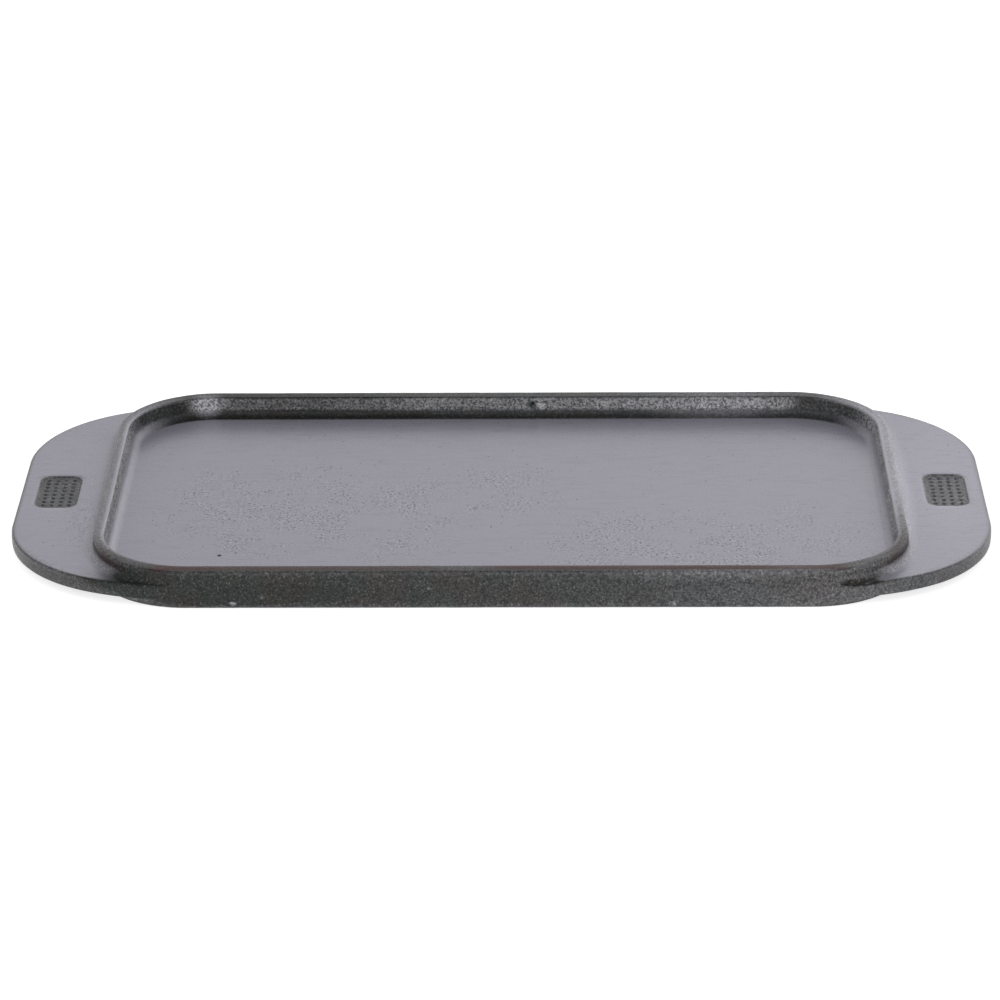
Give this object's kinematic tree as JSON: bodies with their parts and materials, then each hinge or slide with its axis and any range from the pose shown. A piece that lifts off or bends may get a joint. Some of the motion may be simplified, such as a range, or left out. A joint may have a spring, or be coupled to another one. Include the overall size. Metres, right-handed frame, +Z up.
{
  "type": "reversible griddle",
  "caption": "Reversible cast iron griddle for a camp stove: smooth rimmed tray on one side, lengthwise grill ribs on the other, flat tongue handles at both ends.",
  "frame": {"origin": "centre of the footprint, on the surface the griddle stands on with its smooth side up", "axes": "+X along the pan towards the right handle, +Y towards the back, +Z up out of the smooth tray"},
  "size_m": [0.5, 0.24, 0.02],
  "materials": {
    "smooth_iron": "seasoned, smooth fine grain with small pits, satin",
    "wall_iron": "seasoned, as cast in sand, gritty, satin",
    "handle_iron": "seasoned, smooth fine grain, satin",
    "rib_iron": "seasoned, as cast, satin"
  },
  "bodies": {
    "root": {"griddle_plate": "smooth_iron", "griddle_rim": "wall_iron", "grill_rim": "wall_iron", "left_handle": "handle_iron", "right_handle": "handle_iron", "grill_rib_01": "rib_iron", "grill_rib_02": "rib_iron", "grill_rib_03": "rib_iron", "grill_rib_04": "rib_iron", "grill_rib_05": "rib_iron", "grill_rib_06": "rib_iron", "grill_rib_07": "rib_iron", "grill_rib_08": "rib_iron", "grill_rib_09": "rib_iron", "grill_rib_10": "rib_iron", "grill_rib_11": "rib_iron", "grill_rib_12": "rib_iron", "grill_rib_13": "rib_iron"}
  },
  "joints": []
}
